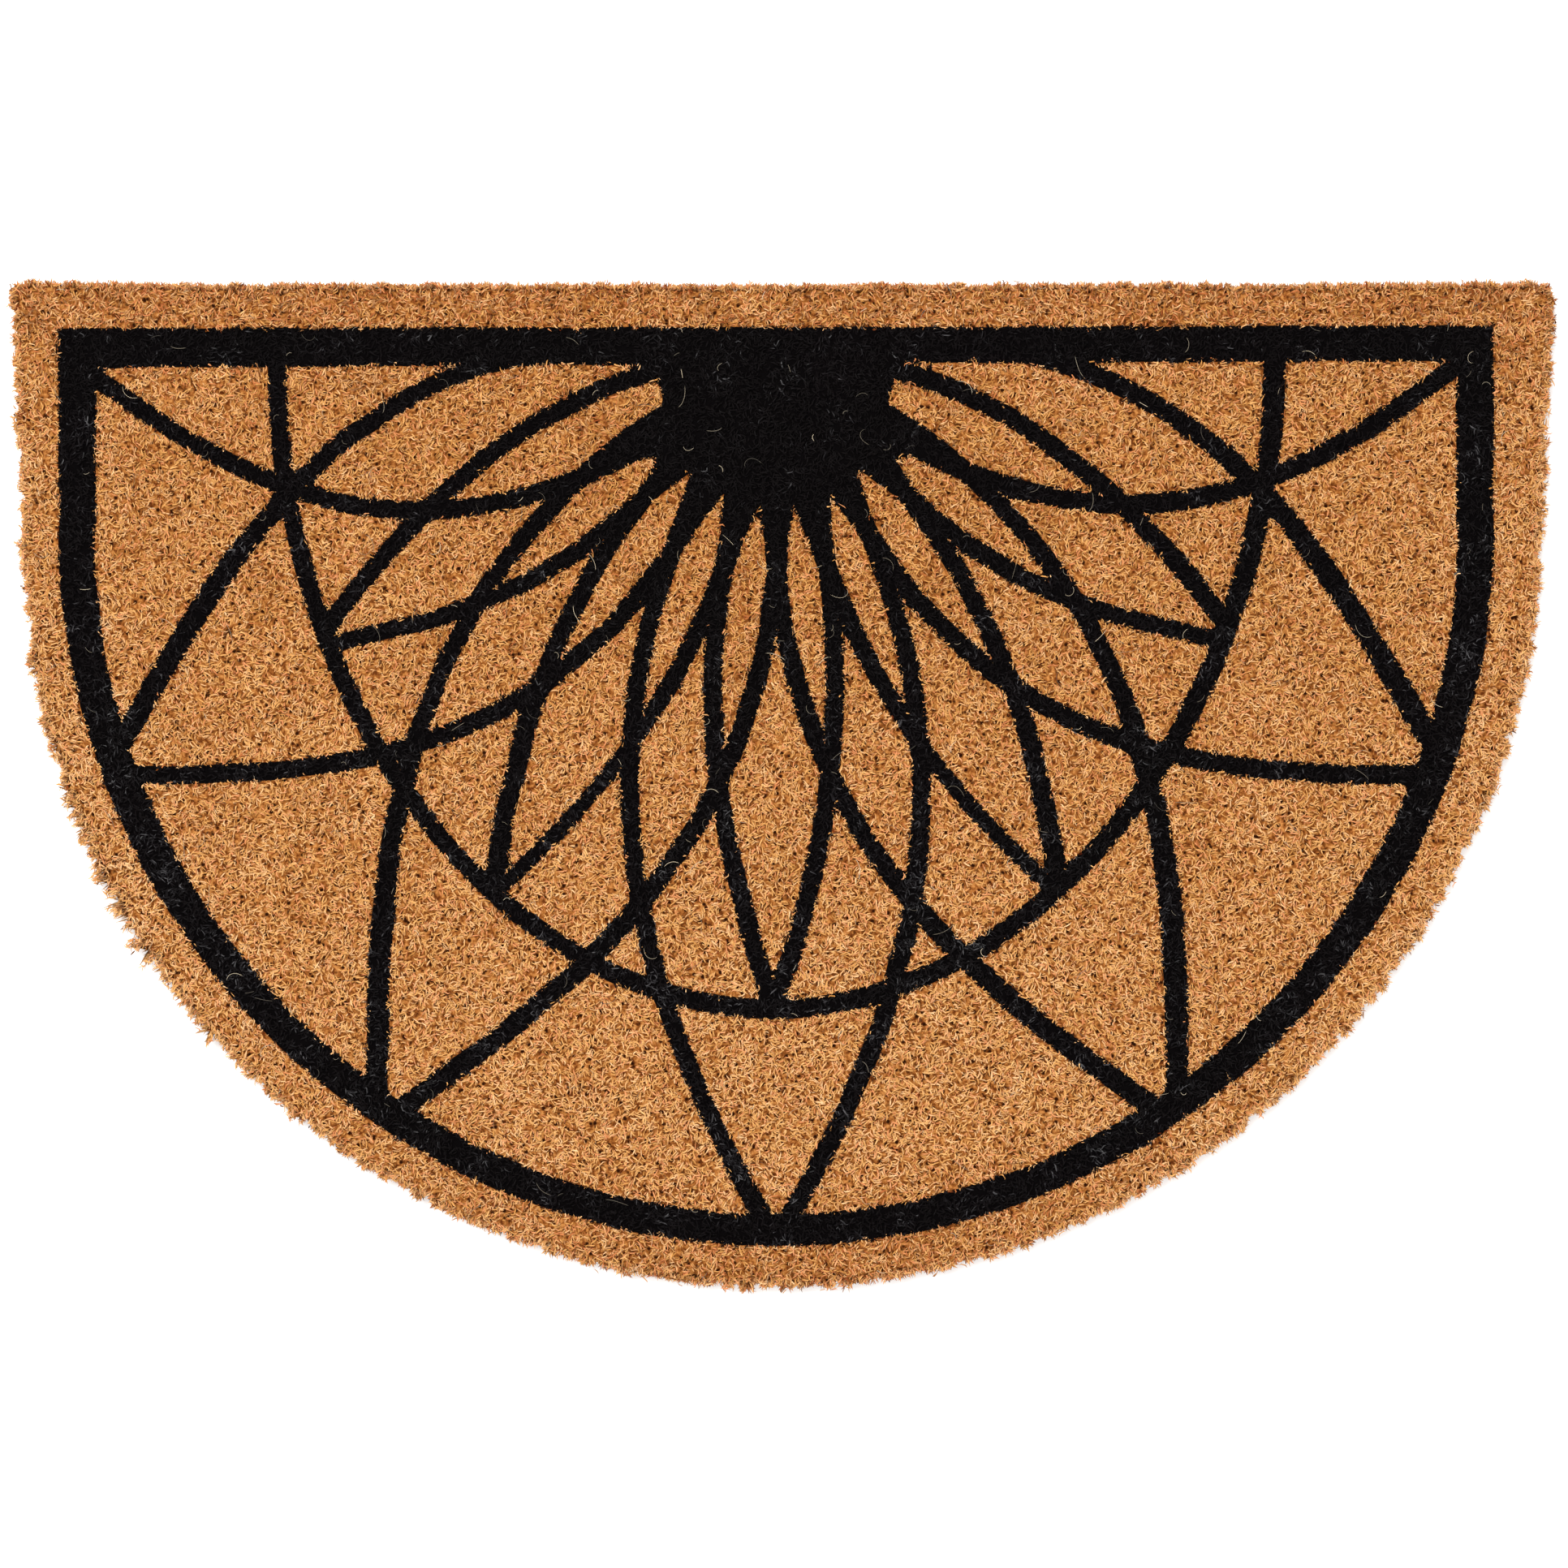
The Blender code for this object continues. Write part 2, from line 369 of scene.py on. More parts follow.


# Linear colours from a fibre's darkest to its palest tone. A fibre is of one of three sorts. The darkest
# tones colour the dark flecks, which are painted shade of pits.
coirTones = {
    "golden": ((0.030, 0.0050, 0.0010), (0.170, 0.050, 0.008), (0.396, 0.176, 0.043),
               (0.532, 0.260, 0.080), (0.680, 0.395, 0.160)),
    "russet": ((0.030, 0.0038, 0.0009), (0.170, 0.033, 0.007), (0.378, 0.121, 0.036),
               (0.528, 0.206, 0.078), (0.660, 0.330, 0.155)),
    "straw": ((0.030, 0.0075, 0.0025), (0.165, 0.068, 0.026), (0.408, 0.194, 0.074),
              (0.555, 0.294, 0.121), (0.730, 0.475, 0.250)),
}
tonePlaces = (0.0, 0.12, 0.34, 0.56, 1.0)
# The ink's own black, faintly uneven, and at the top painted glints: grey highlights on inked fibres
inkAndGlintTones = (
    (0.0, (0.0015, 0.0010, 0.0011)),
    (0.62, (0.0036, 0.0026, 0.0027)),
    (0.80, (0.0100, 0.0090, 0.0096)),
    (1.0, (0.0680, 0.0650, 0.0660)),
)
hairTones = ((0.0, (0.050, 0.045, 0.038)), (0.6, (0.270, 0.230, 0.165)), (1.0, (0.740, 0.620, 0.430)))
# Painted shade along a fibre, from its root, darkest down in the pile, up to its tip, which has none
paintedRootShade = ((0.0, (0.50, 0.38, 0.30)), (0.40, (0.93, 0.90, 0.87)), (1.0, (1.0, 1.0, 1.0)))

# The fibres' map. Across it lie the three sorts, each with its tones. Up it lies the way from
# root to tip, once bare in the lower half and once inked in the upper.
fibreMap = {
    "root": 0.01,
    "length": 0.44,
    "inked": 0.54,                # how much further up an inked fibre lies
    "inkedFrom": 0.5,
    "sortFilled": 0.998,          # of its third of the map, by a sort's tones
    "toneSpread": 0.01,           # between a fibre's corners, so that it covers a little of the map
    "toneLimits": (0.01, 0.98),
}


# One finish for every fibre, bare or inked
def coirFinish():
    finish, nodes, links, shader = newFinish("coir_fibre")
    across, up = addMapPlace(nodes, links)
    along = nodes.new("ShaderNodeMapRange")
    along.inputs["From Max"].default_value = fibreMap["root"] + fibreMap["length"]
    links.new(up, along.inputs["Value"])
    bareStops, inkedStops = [], []
    for number, sortTones in enumerate(coirTones.values()):
        for share, tone in zip(tonePlaces, sortTones):
            bareStops.append(((number + share * fibreMap["sortFilled"]) / 3, tone))
        for share, tone in inkAndGlintTones:
            inkedStops.append(((number + share * fibreMap["sortFilled"]) / 3, tone))
    bare = addRamp(nodes, bareStops)
    inked = addRamp(nodes, inkedStops)
    shade = addRamp(nodes, paintedRootShade)
    links.new(across, bare.inputs["Fac"])
    links.new(across, inked.inputs["Fac"])
    links.new(along.outputs["Result"], shade.inputs["Fac"])
    isInked = nodes.new("ShaderNodeMath")
    isInked.operation = "GREATER_THAN"
    isInked.inputs[1].default_value = fibreMap["inkedFrom"]
    links.new(up, isInked.inputs[0])
    # Bare fibres get the painted shade towards their roots; inked ones keep the ink's tones
    shaded = addMix(nodes, links, "MULTIPLY", 1.0, bare.outputs["Color"], shade.outputs["Color"])
    colour = addMix(nodes, links, "MIX", isInked.outputs["Value"], shaded, inked.outputs["Color"])
    links.new(colour, shader.inputs["Base Color"])
    return finish


# The loose hairs: pale, and greyer than the pile
def hairFinish():
    finish, nodes, links, shader = newFinish("loose_hair")
    across, _ = addMapPlace(nodes, links)
    tone = addRamp(nodes, hairTones)
    links.new(across, tone.inputs["Fac"])
    links.new(tone.outputs["Color"], shader.inputs["Base Color"])
    return finish


bedLook = {
    "grainScale": 700.0,
    "grainDetail": 3.0,
    "grain": ((0.34, (0.080, 0.018, 0.003)), (0.50, (0.225, 0.074, 0.015)),
              (0.66, (0.410, 0.170, 0.045))),
    "pitScale": 380.0,
    "pitCore": 0.20,              # fully dark within this, of the distance between pits
    "pitSize": 0.40,              # and not at all past this
    # painted shade: the pits between the fibres are coloured near black
    "pitPaintedShade": (0.016, 0.0035, 0.0008, 1.0),
    "ink": (0.0014, 0.0010, 0.0011, 1.0),
    "inkRagged": 0.9,             # millimetres
    "inkSoft": 0.1,               # millimetres, on each side of the ink's edge
    "bumpDistance": 0.0005,
    "bumpStrength": 1.0,
}


# The pile below its tips: matted short fibres with pits painted dark as shade, and the ink on it
def bedFinish():
    finish, nodes, links, shader = newFinish("coir_bed")
    place = nodes.new("ShaderNodeTexCoord")
    grain = nodes.new("ShaderNodeTexNoise")
    grain.inputs["Scale"].default_value = bedLook["grainScale"]
    grain.inputs["Detail"].default_value = bedLook["grainDetail"]
    links.new(place.outputs["Object"], grain.inputs["Vector"])
    tone = addRamp(nodes, bedLook["grain"])
    links.new(grain.outputs["Fac"], tone.inputs["Fac"])
    pits = nodes.new("ShaderNodeTexVoronoi")
    pits.inputs["Scale"].default_value = bedLook["pitScale"]
    links.new(place.outputs["Object"], pits.inputs["Vector"])
    filled = nodes.new("ShaderNodeMapRange")
    filled.inputs["From Min"].default_value = bedLook["pitCore"]
    filled.inputs["From Max"].default_value = bedLook["pitSize"]
    links.new(pits.outputs["Distance"], filled.inputs["Value"])
    isFilled, grainColour = filled.outputs["Result"], tone.outputs["Color"]
    # the pits' painted shade, laid over the bed's grain
    bare = addMix(nodes, links, "MIX", isFilled, bedLook["pitPaintedShade"], grainColour)
    ink = nodes.new("ShaderNodeAttribute")
    ink.attribute_name = "ink"
    ragged = nodes.new("ShaderNodeMath")
    ragged.operation = "MULTIPLY_ADD"
    ragged.inputs[1].default_value = bedLook["inkRagged"]
    links.new(grain.outputs["Fac"], ragged.inputs[0])
    links.new(ink.outputs["Fac"], ragged.inputs[2])
    middle, soft = bedLook["inkRagged"] / 2, bedLook["inkSoft"]
    isInked = nodes.new("ShaderNodeMapRange")
    isInked.inputs["From Min"].default_value = middle - soft
    isInked.inputs["From Max"].default_value = middle + soft
    links.new(ragged.outputs["Value"], isInked.inputs["Value"])
    colour = addMix(nodes, links, "MIX", isInked.outputs["Result"], bare, bedLook["ink"])
    links.new(colour, shader.inputs["Base Color"])
    addBump(nodes, links, grain.outputs["Fac"], bedLook["bumpDistance"], bedLook["bumpStrength"], shader)
    return finish


backingLook = {
    "grainScale": 700.0,
    "grain": ((0.0, (0.030, 0.032, 0.036)), (1.0, (0.050, 0.053, 0.058))),
    "bumpDistance": 0.0002,
    "bumpStrength": 0.5,
}


# Dark grey vinyl with a fine leathery grain
def backingFinish():
    finish, nodes, links, shader = newFinish("backing_vinyl")
    place = nodes.new("ShaderNodeTexCoord")
    grain = nodes.new("ShaderNodeTexVoronoi")
    grain.inputs["Scale"].default_value = backingLook["grainScale"]
    links.new(place.outputs["Object"], grain.inputs["Vector"])
    tone = addRamp(nodes, backingLook["grain"])
    height = grain.outputs["Distance"]
    links.new(height, tone.inputs["Fac"])
    links.new(tone.outputs["Color"], shader.inputs["Base Color"])
    addBump(nodes, links, height, backingLook["bumpDistance"], backingLook["bumpStrength"], shader)
    return finish


# The bed: the body of the pile, a little inside the tips

bed = {
    "mergeDistance": 0.00002,
    "treadHeight": 0.0115,        # faces whose middle is above this are cut up finely,
    "treadNormal": 0.3,           # if they look up at least this much
    "cuts": 3,
    "sink": 0.0016,               # how far the tread lies under the tips
    "inset": 0.0012,              # and the rim inside them
    "rootZone": 0.002,            # nothing moves at the root, and all of it this far above
    "lumpSize": 0.006,
    "lumpHeight": 0.0007,
    "inkLimit": 5.0,              # millimetres, the deepest that the bed's ink is told
}


def selectOnly(piece):
    bpy.ops.object.select_all(action="DESELECT")
    piece.select_set(True)
    bpy.context.view_layer.objects.active = piece


def makeBed():
    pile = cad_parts["coir_pile"]
    piece = bpy.data.objects.new("coir_bed", pile.data.copy())
    bpy.context.scene.collection.objects.link(piece)
    piece.data.materials.clear()
    selectOnly(piece)
    bpy.ops.object.mode_set(mode="EDIT")
    bpy.ops.mesh.select_all(action="SELECT")
    bpy.ops.mesh.remove_doubles(threshold=bed["mergeDistance"])
    bpy.ops.mesh.select_mode(type="FACE")
    bpy.ops.mesh.select_all(action="DESELECT")
    shape = bmesh.from_edit_mesh(piece.data)
    for face in shape.faces:
        isHigh = face.calc_center_median().z > bed["treadHeight"]
        face.select = isHigh and face.normal.z > bed["treadNormal"]
    bmesh.update_edit_mesh(piece.data)
    bpy.ops.mesh.subdivide(number_cuts=bed["cuts"])
    bpy.ops.mesh.select_all(action="SELECT")
    bpy.ops.mesh.quads_convert_to_tris()
    bpy.ops.object.mode_set(mode="OBJECT")

    mesh = piece.data
    count = len(mesh.vertices)
    places = np.empty(count * 3)
    normals = np.empty(count * 3)
    mesh.vertices.foreach_get("co", places)
    mesh.vertices.foreach_get("normal", normals)
    places, normals = places.reshape(-1, 3), normals.reshape(-1, 3)
    raised = np.clip((places[:, 2] - places[:, 2].min()) / bed["rootZone"], 0, 1)
    steep = np.linalg.norm(normals[:, :2], axis=1)
    outward = normals[:, :2] / np.maximum(steep, 1e-6)[:, None]
    places[:, :2] -= outward * (bed["inset"] * steep * raised)[:, None]
    lumps = ripple(places[:, 0], places[:, 1], bed["lumpSize"], seeds["lumps"]) * bed["lumpHeight"]
    places[:, 2] += np.clip(normals[:, 2], 0, 1) * raised * (lumps - bed["sink"])
    mesh.vertices.foreach_set("co", places.ravel())
    millimetres = inkDepth(places[:, 0], places[:, 1]) * 1000
    ink = mesh.attributes.new("ink", "FLOAT", "POINT")
    ink.data.foreach_set("value", np.clip(millimetres, -bed["inkLimit"], bed["inkLimit"]))
    mesh.update()
    mesh.shade_smooth()
    mesh.materials.append(bedFinish())
    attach(piece, "root")
    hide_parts("coir_pile")
    return piece


# The fibres. On the tread each is a bent strand of four faces, at the rim a closed splinter.

field = {
    "tufts": 45000,
    "fibresInTuft": 4,
    "strips": 4,                  # the pieces that the tread's fibres are shared out to
    "treadHeight": 0.009,         # they stand on what is above this
    "treadNormal": 0.3,           # and looks up at least this much
    "tuftSpread": 0.0009,
    "tuftFan": 0.60,              # how far a tuft's fibres turn from its own heading
    "sunk": 0.0005,
    "length": (0.0018, 0.0045),
    "width": 0.00047,
    "halfWidth": (0.32, 0.63),    # half a strand's width, as shares of that
    "narrower": 0.85,             # its width at the second pair of corners, of the first's
    "curl": 2.4,                  # radians, the most that one turns from end to end
    "curlUneven": 0.4,            # within a tuft, as a share of that
    "arch": 0.0007,
    "lift": (0.0001, 0.0016),     # above the bed, at the middle of a fibre
    "tip": (-0.0008, 0.0010),     # and how far its tip stands above or below that
    "roll": 0.24,                 # how far it leans to one side, as a slope
}
rim = {
    "count": 21000,
    "mostUpward": 0.75,           # the rim is where the bed looks up or down less than this
    "length": (0.0040, 0.0072),
    "width": 0.00062,
    "widths": (0.65, 1.25),       # shares of that
    "upward": 0.75,
    "outward": 0.52,
    "leans": (0.3, 1.5),          # shares of that
    "aside": 0.32,
    "puff": 0.0006,
    "lowest": 0.0024,             # above the floor
    # painted light: the rim's fibres are paler, to make up for the shade on their steep sides
    "paler": 0.04,
    "reachFrom": 0.003,           # the rim leans out from this height on,
    "reachFull": 0.010,           # and fully so at this one
    "lobes": 0.0013,              # how far the locks along the rim stand out and in
    "lobeSize": 0.010,
    "straightNormal": 0.8,        # the straight edge is where the rim looks back this much
    "lobesOfStraight": 0.45,      # the share of the locks there
    "straightReach": 0.0008,      # which reaches out this much more instead
    "endReach": 0.0005,           # as the round end does by this,
    "endFalloff": 4,              # the less, the further from its middle
    "looseAt": 151.0,             # degrees from the right, where the pile is brushed outwards,
    "looseAcross": 15.0,          # half the width of that stretch
    "looseReach": 0.0027,         # and how far,
    "looseUneven": (0.5, 1.5),    # as shares of that
    "looseLobes": 1.5,            # how much further the locks stand out there
}
overhang = {                      # strands that lie out over the top of the rim
    "count": 9500,
    "length": (0.0020, 0.0044),
    "outside": 0.15,              # how far a strand's middle lies out, of its length
    "fan": 0.75,
    "height": (0.0088, 0.0150),
    "droop": 0.0012,
    "droops": (0.0, -0.1, -0.5, -1.0),  # along a strand, shares of that
    "paler": 0.05,
}
tones = {
    "middle": 0.485,
    "ofTuft": 0.085,
    "ofFibre": 0.085,
    "patchSize": 0.030,
    "patch": 0.05,
    "streakSize": 0.007,
    "streakAlong": 0.25,          # how fast they change along the straight edge, of across it
    "streak": 0.04,
    "limits": (0.15, 0.97),       # the darkest and the palest
    "flecks": 0.100,              # short dark fibres, painted shade that looks like the pits in the pile
    "fleckTone": 0.10,            # the palest of them
    "fleckLength": 0.45,          # and their size, of an ordinary fibre's
    "fleckWidth": 1.15,
    "topDarker": 0.125,           # the margin at the straight edge, redder too
    "endDarker": 0.035,           # and at the round end,
    "endsFalloff": 4,             # the less, the further from them
    "endsRedder": 0.18,
    "endsRougher": 0.6,
    "hueSize": 0.006,             # patches that are redder or more golden
    "hue": 0.22,
    "broadHue": 0.10,             # and broader ones, as far apart as the paler patches
    "glintPatchSize": 0.016,            # patches of painted glints on the black, where inked fibres' tones are raised towards the grey glints
    "glintPatch": 0.12,
    "glint": 0.10,                # how far an inked fibre's tone changes along it
    "fieldPaler": 0.15,           # inside the border, and fully so this far below its top
    "paleBelow": 0.30,
    "rosetteDarker": 0.09,        # round the rosette, where the lines are dense,
    "rosetteReach": 0.12,         # and how far from its centre
    "sidesPaler": 0.11,           # the margins, but for the two ends
    "loosePaler": 0.04,           # and more so where they are brushed outwards
    "marginSorts": (0.46, 0.18),  # shares of golden and of russet, the rest is straw
    "fieldSorts": (0.54, 0.20),
}
# The faces by the corners' numbers, and where along a splinter or a strand the corners lie
splinterFaces = np.array(((0, 1, 2), (3, 2, 1), (0, 3, 1), (0, 2, 3)))
splinterAlong = np.array((0.0, 0.6, 0.6, 1.0))
strandFaces = np.array(((0, 2, 1), (2, 4, 3), (2, 3, 1), (4, 5, 3)))
strandShares = np.array((0.0, 0.30, 0.74, 1.0))
strandAlong = strandShares[[0, 1, 1, 2, 2, 3]]


def scatter(mesh, count, chance, wanted):
    # Places spread over the wanted triangles by area, with the face normals there
    mesh.calc_loop_triangles()
    corners = np.empty(len(mesh.loop_triangles) * 3, dtype=np.int32)
    mesh.loop_triangles.foreach_get("vertices", corners)
    points = np.empty(len(mesh.vertices) * 3)
    mesh.vertices.foreach_get("co", points)
    a, b, c = points.reshape(-1, 3)[corners.reshape(-1, 3)].transpose(1, 0, 2)
    cross = np.cross(b - a, c - a)
    area = np.linalg.norm(cross, axis=1) / 2
    normal = cross / np.maximum(2 * area, 1e-15)[:, None]
    weight = area * wanted((a + b + c) / 3, normal)
    edges = np.cumsum(weight) / weight.sum()
    spread = (np.arange(count) + chance.uniform(0, 1, count)) / count
    face = np.minimum(np.searchsorted(edges, spread), len(edges) - 1)
    u, v = np.sqrt(chance.uniform(0, 1, count)), chance.uniform(0, 1, count)
    weights = np.stack((1 - u, u * (1 - v), u * v), 1)[:, :, None]
    place = (np.stack((a[face], b[face], c[face]), 1) * weights).sum(1)
    return place, normal[face]


def isTread(middle, normal):
    return (normal[:, 2] > field["treadNormal"]) & (middle[:, 2] > field["treadHeight"])


def isRim(middle, normal):
    return np.abs(normal[:, 2]) < rim["mostUpward"]


def unit(vectors):
    return vectors / np.maximum(np.linalg.norm(vectors, axis=1), 1e-12)[:, None]


def toneOf(places, tuftSize, isShadeFleck, chance):
    # A tone for each fibre, from 0 to 1, and which of the three sorts of coir it is
    count = len(places)
    x, y = places[:, 0], places[:, 1]
    inField = np.clip(borderDepths(x, y)[1] / printed["bandSide"], 0, 1)
    ends = (1 - inField) * np.clip(np.abs(y) / cadHigh.y, 0, 1) ** tones["endsFalloff"]
    uneven = tones["ofFibre"] * (1 + tones["endsRougher"] * ends)
    tone = tones["middle"] + uneven * chance.normal(0, 1, count)
    tone += np.repeat(tones["ofTuft"] * chance.normal(0, 1, count // tuftSize), tuftSize)
    tone += tones["patch"] * ripple(x, y, tones["patchSize"], seeds["patches"])
    tone += tones["streak"] * ripple(x * tones["streakAlong"], y, tones["streakSize"], seeds["streaks"])
    below = np.clip((printed["borderTop"] - y) / tones["paleBelow"], 0, 1)
    tone += tones["fieldPaler"] * inField * below
    away = np.hypot(x - printed["middle"][0], y - printed["middle"][1])
    tone -= tones["rosetteDarker"] * inField * np.exp(-((away / tones["rosetteReach"]) ** 2))
    tone -= np.where(y > 0, tones["topDarker"], tones["endDarker"]) * ends
    tone += tones["sidesPaler"] * (1 - inField - ends)
    tone += tones["loosePaler"] * looseness(x, y) * (1 - inField)
    draw = chance.uniform(0, 1, count)
    draw += tones["hue"] * ripple(x, y, tones["hueSize"], seeds["hues"])
    draw += tones["broadHue"] * ripple(x, y, tones["patchSize"], seeds["broadHues"])
    golden, russet = [margin + (inside - margin) * inField
                      for margin, inside in zip(tones["marginSorts"], tones["fieldSorts"])]
    golden -= tones["endsRedder"] * ends
    russet += tones["endsRedder"] * ends
    sort = (draw > golden).astype(int) + (draw > golden + russet)
    # painted glints: in patches, the inked fibres' tones are raised towards the ink's grey glint tones
    tone += tones["glintPatch"] * ripple(x, y, tones["glintPatchSize"], seeds["glintPatch"]) * (inkDepth(x, y) > 0)
    fleck = tones["fleckTone"] * chance.uniform(0, 1, count)
    return np.where(isShadeFleck, fleck, np.clip(tone, *tones["limits"])), sort


def inkedAt(corners, chance):
    # For each corner of each fibre, whether the ink reached it
    x, y = corners[:, :, 0], corners[:, :, 1]
    depth = inkDepth(x, y) + printed["bleed"] * chance.normal(0, 1, (len(corners), 1))
    depth += printed["ragged"] * ripple(x, y, printed["raggedSize"], seeds["ragged"])
    return depth > 0


def joinedMesh(name, points, faces, across, up, finish):
    # One mesh of triangles with its map: across and up are given for each point
    mesh = bpy.data.meshes.new(name)
    mesh.vertices.add(len(points))
    mesh.vertices.foreach_set("co", points.ravel())
    faces = faces.ravel().astype(np.int32)
    mesh.loops.add(len(faces))
    mesh.loops.foreach_set("vertex_index", faces)
    mesh.polygons.add(len(faces) // 3)
    mesh.polygons.foreach_set("loop_start", np.arange(0, len(faces), 3, dtype=np.int32))
    mesh.update()
    pairs = np.stack((across, up), 1)[faces]
    layer = mesh.uv_layers.new(name="OFBake")
    layer.data.foreach_set("uv", pairs.astype(np.float32).ravel())
    mesh.materials.append(finish)
    piece = bpy.data.objects.new(name, mesh)
    bpy.context.scene.collection.objects.link(piece)
    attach(piece, "root")
    print(name, len(mesh.polygons), "faces")
    return piece


def fibreMesh(name, corners, faces, along, tone, sort, inked, finish):
    # Joins the fibres, given by their corners, their faces, and the tones and sort of each
    count, each = corners.shape[:2]
    faces = faces[None] + each * np.arange(count)[:, None, None]
    spread = fibreMap["toneSpread"] * np.sin(np.arange(each))
    across = (sort[:, None] + np.clip(tone + spread, *fibreMap["toneLimits"])) / 3
    up = fibreMap["root"] + fibreMap["length"] * along + fibreMap["inked"] * inked
    return joinedMesh(name, corners.reshape(-1, 3), faces, across.ravel(), up.ravel(), finish)


def bareFibreMesh(name, corners, faces, along, paler, finish, chance):
    # The same for fibres of the rim, which no ink reaches
    isShadeFleck = chance.uniform(0, 1, len(corners)) < tones["flecks"]
    tone, sort = toneOf(corners[:, 0], 1, isShadeFleck, chance)
    bare = np.zeros(corners.shape[:2], bool)
    return fibreMesh(name, corners, faces, along, tone[:, None] + paler, sort, bare, finish)


def outwardSplinters(corners):
    # Puts the four corners of each splinter in the order that turns its faces outward
    sides = corners[:, 1:] - corners[:, :1]
    volume = np.einsum("ij,ij->i", np.cross(sides[:, 0], sides[:, 1]), sides[:, 2])
    order = np.where(volume[:, None] > 0, (0, 2, 1, 3), (0, 1, 2, 3))
    return np.take_along_axis(corners, order[:, :, None], 1)


def strandCorners(centre, heading, curl, length, width, heights, chance):
    # The six corners of each strand, which is an arc through its centre, turning by its curl
    fromMiddle = strandShares - 0.5
    turn = heading[:, None] + curl[:, None] * fromMiddle / 2
    offset = (length[:, None] * fromMiddle)[:, :, None]
    path = centre[:, None] + offset * np.stack((np.cos(turn), np.sin(turn), np.zeros_like(turn)), 2)
    path[:, :, 2] += heights
    facing = heading[:, None] + curl[:, None] * fromMiddle[1:3]
    slope = field["roll"] * chance.normal(0, 1, facing.shape)
    half = (width * chance.uniform(*field["halfWidth"], len(width)))[:, None]
    half = half * np.array((1.0, field["narrower"]))
    side = np.stack((-np.sin(facing), np.cos(facing), slope), 2) * half[:, :, None]
    left, right = path[:, 1:3] + side, path[:, 1:3] - side
    return np.stack((path[:, 0], left[:, 0], right[:, 0], left[:, 1], right[:, 1], path[:, 3]), 1)


def fieldFibres(ground, chance):
    # The fibres of the tread, in tufts
    each = field["fibresInTuft"]
    count = field["tufts"] * each
    place, _ = scatter(ground.data, field["tufts"], chance, isTread)
    centre = np.repeat(place, each, 0)
    centre[:, :2] += field["tuftSpread"] * chance.normal(0, 1, (count, 2))
    heading = np.repeat(chance.uniform(0, 2 * math.pi, field["tufts"]), each)
    heading += field["tuftFan"] * chance.normal(0, 1, count)
    curl = np.repeat(chance.uniform(-1, 1, field["tufts"]), each)
    curl += field["curlUneven"] * chance.normal(0, 1, count)
    curl = field["curl"] * np.clip(curl, -1, 1)
    length = chance.uniform(*field["length"], count)
    # some fibres are short dark flecks: painted shade of the pits in the pile
    isShadeFleck = chance.uniform(0, 1, count) < tones["flecks"]
    length *= np.where(isShadeFleck, tones["fleckLength"], 1.0)
    lift = chance.uniform(*field["lift"], count)
    tip = lift + chance.uniform(*field["tip"], count)
    archUp = field["arch"] * chance.uniform(0, 1, count)
    heights = np.stack((np.full(count, -field["sunk"]), lift, lift + archUp, tip), 1)
    width = field["width"] * np.where(isShadeFleck, tones["fleckWidth"], 1.0)
    return strandCorners(centre, heading, curl, length, width, heights, chance), isShadeFleck


def looseness(x, y):
    # From 0 to 1, how near a place is to the middle of the stretch that is brushed outwards
    around = np.degrees(np.arctan2(printed["borderArcCentre"] - y, x))
    return np.exp(-(((around - rim["looseAt"]) / rim["looseAcross"]) ** 2))


def rimReach(place, outward, chance):
    # How much further out the pile stands at a place on the rim
    x, y = place[:, 0], place[:, 1]
    loose = looseness(x, y)
    lobe = rim["lobes"] * (1 + rim["looseLobes"] * loose) * ripple(x, y, rim["lobeSize"], seeds["lobes"])
    lobe += rim["endReach"] * np.clip(-outward[:, 1], 0, 1) ** rim["endFalloff"]
    isStraight = outward[:, 1] > rim["straightNormal"]
    lobe = np.where(isStraight, rim["straightReach"] + rim["lobesOfStraight"] * lobe, lobe)
    reach = lobe + rim["looseReach"] * loose * chance.uniform(*rim["looseUneven"], len(place))
    share = (place[:, 2] - rim["reachFrom"]) / (rim["reachFull"] - rim["reachFrom"])
    return (reach * np.clip(share, 0, 1))[:, None]


def overhangFibres(ground, chance):
    # The strands that lie out over the top of the rim
    count = overhang["count"]
    place, normal = scatter(ground.data, count, chance, isRim)
    outward = unit(normal * (1, 1, 0))
    length = chance.uniform(*overhang["length"], count)
    place[:, 2] = chance.uniform(*overhang["height"], count)
    further = rimReach(place, outward, chance) + overhang["outside"] * length[:, None]
    centre = place + outward * further
    heading = np.arctan2(outward[:, 1], outward[:, 0])
    heading += overhang["fan"] * chance.normal(0, 1, count)
    curl = field["curl"] * chance.uniform(-1, 1, count)
    droop = overhang["droop"] * chance.uniform(0, 1, (count, 1)) * np.array(overhang["droops"])
    width = np.full(count, field["width"])
    return strandCorners(centre, heading, curl, length, width, droop, chance)


def rimFibres(ground, chance):
    # The fibres of the rim, which stand up along it and splay outwards
    count = rim["count"]
    place, normal = scatter(ground.data, count, chance, isRim)
    outward = unit(normal * (1, 1, 0))
    aside = np.cross(outward, (0, 0, 1))
    length = chance.uniform(*rim["length"], count)[:, None]
    width = rim["width"] * chance.uniform(*rim["widths"], count)[:, None] / 2
    lean = outward * rim["outward"] * chance.uniform(*rim["leans"], count)[:, None]
    lean += aside * rim["aside"] * chance.normal(0, 1, count)[:, None]
    lean = unit(lean + (0, 0, rim["upward"]))
    start = place - lean * length * 0.5 - outward * field["sunk"]
    tip = place + lean * length * 0.5 + outward * rimReach(place, outward, chance)
    start[:, 2] = np.clip(start[:, 2], cadLow.z + rim["lowest"], None)
    tip[:, 2] = np.clip(tip[:, 2], None, cadHigh.z)
    middle = (start + tip) / 2 + outward * rim["puff"]
    across = unit(np.cross(lean, outward)) * width
    return outwardSplinters(np.stack((start, middle - across, middle + across, tip), 1))


